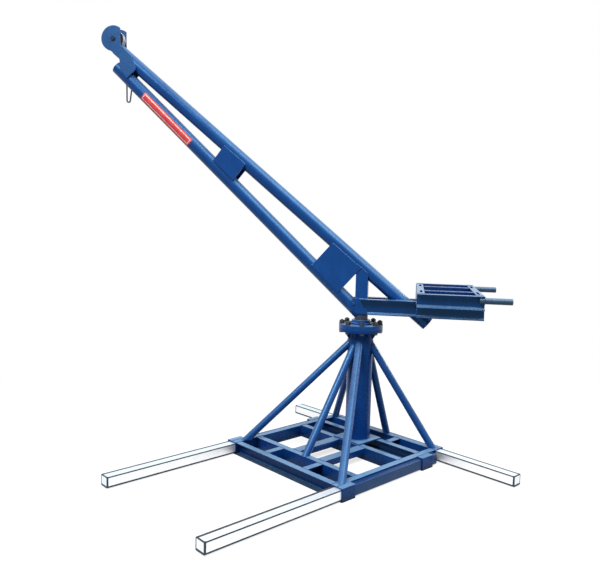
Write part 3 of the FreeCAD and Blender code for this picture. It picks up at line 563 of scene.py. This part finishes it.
paintBlue = paintedSteel("enamelBlue")
# more painted top light than the rest, and darker in splashes near the floor: grime with painted shade
paintBase = paintedSteel("enamelBase", topLightShare=0.78, grime=0.9, colours=baseCoat)
# less painted top light on the braces
paintBrace = paintedSteel("enamelBrace", topLightShare=0.42)
# darker copy of the blue: painted shade on the platform's rear beams, upper rails and end cross members
paintShade = paintedSteel("enamelShade", tone=0.70)
# paler copy on the head plates: painted light
paintHeadLit = paintedSteel("enamelHeadLit", colours=litHeadCoat)
# much darker copy of the blue: painted shade on the lower rails and lower cross members under the platform;
# also a dark axle end
paintDarker = paintedSteel("enamelDarker", tone=0.42, wear=0.7, topLightShare=0.25)
# darker copy for the winch rails with little top light: painted shade within the platform
paintRailShaded = paintedSteel("enamelRailShaded", tone=0.70, wear=0.8, topLightShare=0.05, colours=shadedRailCoat)
paintGrey = paintedSteel("enamelGrey", wear=1.4, colours=handled)
blackened = bareSteel("blackenedSteel", steelFinish["blackened"])
machined = bareSteel("machinedSteel", steelFinish["machined"])
collarSteel = bareSteel("collarSteel", steelFinish["collar"])
grooveSteel = bareSteel("sheaveSteel", steelFinish["sheave"])
bronze = bareSteel("bushBronze", steelFinish["bronze"])

channelNodes = [
    "left_channel", "right_channel", "front_channel", "rear_channel", "front_crossbar", "front_bearer",
    "rear_bearer", "front_short_bars", "rear_short_bars", "long_bars", "outrigger_sockets",
]
braceNodes = [
    "front_left_brace", "front_middle_brace", "front_right_brace",
    "rear_left_brace", "rear_middle_brace", "rear_right_brace",
]
platformNodes = [
    "rear_beams", "upper_rails", "lower_rails", "end_cross_members", "lower_cross_members", "winch_rails",
]
fixedNodes = channelNodes + ["base_plate", "column_tube"] + braceNodes + ["column_gussets", "lower_flange"]
turningNodes = [
    "hub_tube", "post", "upper_chord", "lower_chord", "lower_web_plates", "upper_web_plates", "cheek_plates",
    "head_plates", "rope_anchor", *platformNodes, "push_bars",
]

# base blue on the fixed nodes and plain blue on all others, apart from these
nodeFinish = (
    (paintBrace, braceNodes),
    (paintHeadLit, ["head_plates"]),
    (paintShade, ["rear_beams", "upper_rails", "end_cross_members"]),
    (paintDarker, ["sheave_axle", "lower_rails", "lower_cross_members"]),
    (paintRailShaded, ["winch_rails"]),
    (paintGrey, ["push_bars"]),
    (blackened, ["flange_bolts", "flange_nuts", "flange_washers", "cap_screws", "axle_ring", "kingpin_nut",
                 "rope_anchor"]),
    (machined, ["bearing_balls", "bearing_inner_rings", "bearing_outer_rings", "bearing_spacer",
                "thrust_seat_washer", "thrust_turning_washer"]),
    (collarSteel, ["kingpin"]),
    (grooveSteel, ["sheave"]),
    (bronze, ["sheave_bush"]),
)

# on the base's own x and y: the tube's middle and half size, the length that is greased, which may run on
# past its end, and the side whose top line is wide
outriggers = {
    "left_outrigger": {"middle": (-0.478, -0.700), "half": (0.037, 0.885),
                       "greased": ("Y", -0.690, 9), "wideSide": (0, -1)},
    "right_outrigger": {"middle": (0.478, -0.700), "half": (0.037, 0.885),
                        "greased": ("Y", -0.690, 9), "wideSide": (0, -1)},
    "rear_outrigger": {"middle": (0.082, 0.261), "half": (0.945, 0.037),
                       "greased": ("X", -0.478, 0.478), "wideSide": (1, 1)},
}

edgeRound = {
    "width": 0.0009,
    "segments": 2,
    "sharp": 40,             # degrees
    "merge": 0.00001,
    "nodes": channelNodes + platformNodes + [
        "base_plate", "column_gussets", "lower_flange", "bearing_housing", "housing_cap", "lower_web_plates",
        "upper_web_plates", "head_plates", "post"],
}


def roundEdges():
    # sheared and rolled edges are never quite sharp
    for name in edgeRound["nodes"]:
        join = nodes[name].modifiers.new("join", "WELD")
        join.merge_threshold = edgeRound["merge"]
        bevel = nodes[name].modifiers.new("round", "BEVEL")
        bevel.width = edgeRound["width"]
        bevel.segments = edgeRound["segments"]
        bevel.limit_method = "ANGLE"
        bevel.angle_limit = math.radians(edgeRound["sharp"])


def dress(names, material):
    for name in names:
        nodes[name].data.materials.clear()
        nodes[name].data.materials.append(material)


def dressNodes():
    dress(nodes, paintBlue)
    dress(fixedNodes, paintBase)
    for material, names in nodeFinish:
        dress(names, material)
    for name, tube in outriggers.items():
        low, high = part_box(name)
        centre = (*tube["middle"], (low.z + high.z) / 2)
        halfSize = (*tube["half"], (high.z - low.z) / 2)
        dress([name], outlinedPaint(name + "Paint", centre, halfSize, tube["greased"], tube["wideSide"]))
    dress(["sign_band"], signPaint("signRed"))


dressNodes()
roundEdges()
print("materials and rounded edges on the CAD nodes")


pieceMesh = {
    "merge": 0.000002,
    "sharp": 38,             # degrees
}


def makePiece(name, form, material, body):
    bmesh.ops.remove_doubles(form, verts=form.verts, dist=pieceMesh["merge"])
    bmesh.ops.recalc_face_normals(form, faces=form.faces)
    mesh = bpy.data.meshes.new(name)
    form.to_mesh(mesh)
    form.free()
    mesh.materials.append(material)
    mesh.shade_smooth()
    mesh.set_sharp_from_angle(angle=math.radians(pieceMesh["sharp"]))
    piece = bpy.data.objects.new(name, mesh)
    bpy.context.scene.collection.objects.link(piece)
    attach(piece, body)
    return piece


# bolts, nuts and screws

fastener = {
    "flangeCircle": (0.1255, 8),     # radius and count
    "capCircle": (0.070, 6),
    "bolt": {"flats": 0.030, "radius": 0.010, "head": (0.812, 0.7995), "nut": (0.863, 0.881), "tip": 0.886,
             "steps": 24},
    "capScrew": {"flats": 0.013, "radius": 0.004, "head": (0.870, 0.8755), "foot": 0.8464, "plain": 0.003,
                 "steps": 16},
    "cheekBolt": {"flats": 0.019, "radius": 0.006, "head": (0.0, 0.0075), "foot": -0.022, "steps": 20},
    "cheekPlace": (-0.05025, 0.0527, 0.9961),
    "pitch": 0.0025,
    "threadDepth": 0.0014,
    "threadEnd": 0.0015,     # at least this much of the tip is without thread
    "tipDrop": 0.0002,       # of the tip under the thread's root
    "flatShare": 0.94,       # of the width over flats, left flat on the end faces
    "sides": 36,
    "chamferTurn": 30,       # degrees
}


def hexPrism(form, flats, low, high, chamferLow, place):
    # hexagon whose corners are turned off in a cone at the high end, and at both ends of a nut
    half = flats / 2
    flat = half * fastener["flatShare"]
    slant = math.copysign(math.tan(math.radians(fastener["chamferTurn"])), high - low)
    rings = [[], [], [], []]
    for step in range(fastener["sides"]):
        turn = 2 * math.pi * step / fastener["sides"]
        reach = half / math.cos((turn % (math.pi / 3)) - math.pi / 6)
        drop = (reach - flat) * slant
        levels = ((flat, low), (reach, low + drop * chamferLow), (reach, high - drop), (flat, high))
        for ring, (radius, level) in zip(rings, levels):
            corner = Vector((radius * math.cos(turn), radius * math.sin(turn), level))
            ring.append(form.verts.new(place @ corner))
    for lower, upper in zip(rings, rings[1:]):
        for index in range(fastener["sides"]):
            after = (index + 1) % fastener["sides"]
            form.faces.new((lower[index], lower[after], upper[after], upper[index]))
    form.faces.new(rings[0][::-1])
    form.faces.new(rings[3])


def lathe(form, profile, steps, place):
    # profile is (radius, height) pairs from the axis out and back to the axis
    verts = [form.verts.new(place @ Vector((radius, 0, height))) for radius, height in profile]
    edges = [form.edges.new(pair) for pair in zip(verts, verts[1:])]
    bmesh.ops.spin(form, geom=verts + edges, cent=place.translation, axis=place.to_3x3() @ zAxis,
                   angle=2 * math.pi, steps=steps, use_merge=True, use_duplicate=False)


def threadProfile(radius, foot, tip, plainTo):
    # plain shank up to plainTo, then thread crests and roots up to a chamfered tip
    root = radius - fastener["threadDepth"]
    pitch = fastener["pitch"]
    profile = [(0, foot), (radius, foot), (radius, plainTo)]
    for turn in range(int((tip - plainTo - fastener["threadEnd"]) / pitch)):
        start = plainTo + turn * pitch
        profile += [(root, start + pitch / 2), (radius, start + pitch)]
    return profile + [(root - fastener["tipDrop"], tip), (0, tip)]


def onCircle(radius, count):
    # places round the column, turned as the base stands under the boom
    return [turnedBy(360 * step / count - baseTurn, "Z") @ Matrix.Translation((radius, 0, 0))
            for step in range(count)]


def makeFlangeBolts(bolts, nuts):
    bolt = fastener["bolt"]
    profile = threadProfile(bolt["radius"], bolt["head"][0], bolt["tip"], bolt["nut"][0])
    for place in onCircle(*fastener["flangeCircle"]):
        hexPrism(bolts, bolt["flats"], *bolt["head"], 0, place)
        lathe(bolts, profile, bolt["steps"], place)
        hexPrism(nuts, bolt["flats"], *bolt["nut"], 1, place)


def makeCapScrews(screws):
    screw = fastener["capScrew"]
    seat = screw["head"][0]
    profile = threadProfile(screw["radius"], screw["foot"], seat, seat - screw["plain"])
    for place in onCircle(*fastener["capCircle"]):
        hexPrism(screws, screw["flats"], *screw["head"], 0, place)
        lathe(screws, profile, screw["steps"], place)


def makeCheekBolts(bolts):
    bolt = fastener["cheekBolt"]
    profile = [(0, bolt["foot"]), (bolt["radius"], bolt["foot"]), (bolt["radius"], 0), (0, 0)]
    x, y, z = fastener["cheekPlace"]
    for side in (-1, 1):
        place = Matrix.Translation((x, side * y, z)) @ turnedBy(-90 * side, "X")
        hexPrism(bolts, bolt["flats"], *bolt["head"], 0, place)
        lathe(bolts, profile, bolt["steps"], place)


def makeFasteners():
    bolts, nuts, screws, cheekBolts = (bmesh.new() for _ in range(4))
    makeFlangeBolts(bolts, nuts)
    makeCapScrews(screws)
    makeCheekBolts(cheekBolts)
    for form, name, node, body, material in (
            (bolts, "flangeBolts", "flange_bolts", "base", blackened),
            (nuts, "flangeNuts", "flange_nuts", "base", blackened),
            (screws, "capScrews", "cap_screws", "base", blackened),
            (cheekBolts, "cheekBolts", "cheek_bolts", "boom", paintBlue)):
        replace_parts(makePiece(name, form, material, body), node)


makeFasteners()
print("bolts, nuts and screws made")


# weld beads along the edges where one piece meets another

weld = {
    "reach": 0.0030,         # furthest that an edge lies from the piece it is welded to
    "radius": 0.0032,
    "step": 0.0022,
    "pitch": 0.0066,
    "ripple": 0.30,
    "rippleLevel": 0.6,      # of the wave, where the bead has its plain radius
    "uneven": 0.05,
    "wander": 0.0004,
    "taper": (0.45, 0.28),   # share of the radius at an end, and how much each ring after it adds
    "sides": 6,
    "merge": 0.00001,
    "sample": 0.004,
    "shortest": 0.014,
    "sharp": 35,             # degrees between the faces of an edge
    "open": 0.090,           # clear way out from the side of the edge
    "wayStart": (0.0006, 0.002),     # off that side and off the other piece
    "floor": 0.008,
    "cell": 0.0035,          # a bead keeps clear of the cells that another piece's beads are in
    "joinCell": 0.0008,      # run ends in one such cell are joined
    "bend": 50,              # degrees, a new bead starts at a sharper turn
    "travel": 0.125,         # how far an outrigger slides, its way is kept free of beads
    "clearance": 0.0045,
}


def cellOf(point, size):
    return tuple(round(value / size) for value in point)


def nearCells(point):
    x, y, z = cellOf(point, weld["cell"])
    return [(x + a, y + b, z + c) for a in (-1, 0, 1) for b in (-1, 0, 1) for c in (-1, 0, 1)]


def inSlideWay(point):
    turned = turnedBy(baseTurn, "Z") @ point
    for name, tube in outriggers.items():
        longest = max(tube["half"])
        reach = [size + (weld["travel"] if size == longest else weld["clearance"]) for size in tube["half"]]
        if point.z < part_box(name)[1].z + weld["clearance"] and all(
                abs(turned[axis] - tube["middle"][axis]) < reach[axis] for axis in (0, 1)):
            return True
    return False


def touchedPoint(point, edge, tree, others):
    # middle between the edge and the piece it meets, or None where it is clear or shut in
    offSide, offOther = weld["wayStart"]
    for other in others:
        spot, normal = other.find_nearest(point, weld["reach"])[:2]
        if spot is None:
            continue
        side = max((face.normal for face in edge.link_faces), key=lambda outward: outward.dot(normal))
        start = point + side * offSide + normal * offOther
        if tree.ray_cast(start, side, weld["open"])[0] is None:
            return (point + spot) / 2
    return None


def edgeRuns(edge, name, tree, others, taken):
    # first and last point of each stretch of the edge that takes a bead
    start, end = (vert.co for vert in edge.verts)
    count = max(1, math.ceil((end - start).length / weld["sample"]))
    runs = [[]]
    for index in range(count):
        middle = start.lerp(end, (index + 0.5) / count)
        spot = touchedPoint(middle, edge, tree, others) if middle.z > weld["floor"] else None
        if spot is None or inSlideWay(spot) or any(taken.get(cell, name) != name for cell in nearCells(spot)):
            runs.append([])
            continue
        taken[cellOf(spot, weld["cell"])] = name
        shift = spot - middle
        if not runs[-1]:
            runs[-1].append(start.lerp(end, index / count) + shift)
        runs[-1].append(start.lerp(end, (index + 1) / count) + shift)
    return [[run[0], run[-1]] for run in runs if run]


def weldRuns(names):
    # per node: the runs along each edge that meets another of the named nodes
    forms, trees = {}, {}
    boxes = {name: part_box(name) for name in names}
    for name in names:
        forms[name] = bmesh.new()
        forms[name].from_mesh(nodes[name].data)
        bmesh.ops.remove_doubles(forms[name], verts=forms[name].verts, dist=weld["merge"])
        trees[name] = BVHTree.FromBMesh(forms[name])
    taken, runs = {}, {}
    for name, form in forms.items():
        low, high = boxes[name]
        others = [trees[other] for other in names if other != name and all(
            boxes[other][0][i] < high[i] + weld["reach"] and boxes[other][1][i] > low[i] - weld["reach"]
            for i in range(3))]
        runs[name] = []
        for edge in form.edges:
            if len(edge.link_faces) == 2 and edge.calc_face_angle(0) >= math.radians(weld["sharp"]):
                runs[name] += edgeRuns(edge, name, trees[name], others, taken)
        form.free()
    return runs


def straightest(path, runs, ends, left):
    # the run that carries the path on with the least turn, or None past the sharpest turn allowed
    heading = (path[-1] - path[-2]).normalized()
    best = math.cos(math.radians(weld["bend"]))
    choice = None
    for index in ends.get(cellOf(path[-1], weld["joinCell"]), ()):
        if index not in left:
            continue
        run = runs[index]
        if (run[0] - path[-1]).length > (run[-1] - path[-1]).length:
            run = run[::-1]
        straight = heading.dot((run[-1] - run[0]).normalized())
        if straight > best:
            best, choice = straight, (index, run)
    return choice


def chains(runs):
    # joins runs end to end into longer paths that don't turn sharply
    ends = {}
    for index, run in enumerate(runs):
        for point in (run[0], run[-1]):
            ends.setdefault(cellOf(point, weld["joinCell"]), []).append(index)
    left = set(range(len(runs)))
    paths = []
    while left:
        path = list(runs[left.pop()])
        for _ in range(2):
            choice = straightest(path, runs, ends, left)
            while choice:
                index, run = choice
                left.discard(index)
                path += run[1:]
                choice = straightest(path, runs, ends, left)
            path.reverse()
        paths.append(path)
    return paths


def resampled(path, step):
    lengths = [0.0]
    for first, second in zip(path, path[1:]):
        lengths.append(lengths[-1] + (second - first).length)
    count = max(3, round(lengths[-1] / step))
    points, place = [], 0
    for index in range(count + 1):
        target = lengths[-1] * index / count
        while place < len(path) - 2 and lengths[place + 1] < target:
            place += 1
        span = lengths[place + 1] - lengths[place]
        points.append(path[place].lerp(path[place + 1], (target - lengths[place]) / span if span else 0))
    return points, lengths[-1]


def layBead(form, points, length):
    # rippled bead: each ring a little wider or narrower than the last, tapered at both ends
    heading = (points[1] - points[0]).normalized()
    across = heading.orthogonal().normalized()
    turns = [2 * math.pi * side / weld["sides"] for side in range(weld["sides"])]
    atEnd, gained = weld["taper"]
    last = len(points) - 1
    rings = []
    for index, point in enumerate(points):
        ahead = points[min(index + 1, last)] - points[max(index - 1, 0)]
        if ahead.length > 0:
            heading = ahead.normalized()
        across = (across - heading * across.dot(heading)).normalized()
        over = heading.cross(across)
        travelled = length * index / last
        wave = abs(math.sin(math.pi * travelled / weld["pitch"]))
        taper = min(1.0, atEnd + gained * min(index, last - index))
        rippled = 1 + weld["ripple"] * (wave - weld["rippleLevel"])
        radius = weld["radius"] * taper * (rippled + random.uniform(-weld["uneven"], weld["uneven"]))
        centre = point + across * random.uniform(-1, 1) * weld["wander"]
        rings.append([form.verts.new(centre + radius * (across * math.cos(turn) + over * math.sin(turn)))
                      for turn in turns])
    for ring, after in zip(rings, rings[1:]):
        for side in range(weld["sides"]):
            following = (side + 1) % weld["sides"]
            form.faces.new((ring[side], ring[following], after[following], after[side]))
    form.faces.new(rings[0][::-1])
    form.faces.new(rings[-1])


def makeWelds(name, names, body, material):
    form = bmesh.new()
    total = 0
    for runs in weldRuns(names).values():
        for path in chains(runs):
            points, length = resampled(path, weld["step"])
            if length < weld["shortest"]:
                continue
            layBead(form, points, length)
            total += length
    print(name, "%.1f m of bead," % total, len(form.faces), "faces")
    makePiece(name, form, material, body)


makeWelds("weldsBase", fixedNodes, "base", paintBase)
makeWelds("weldsBoom", turningNodes, "boom", paintBlue)
print("weld beads laid")
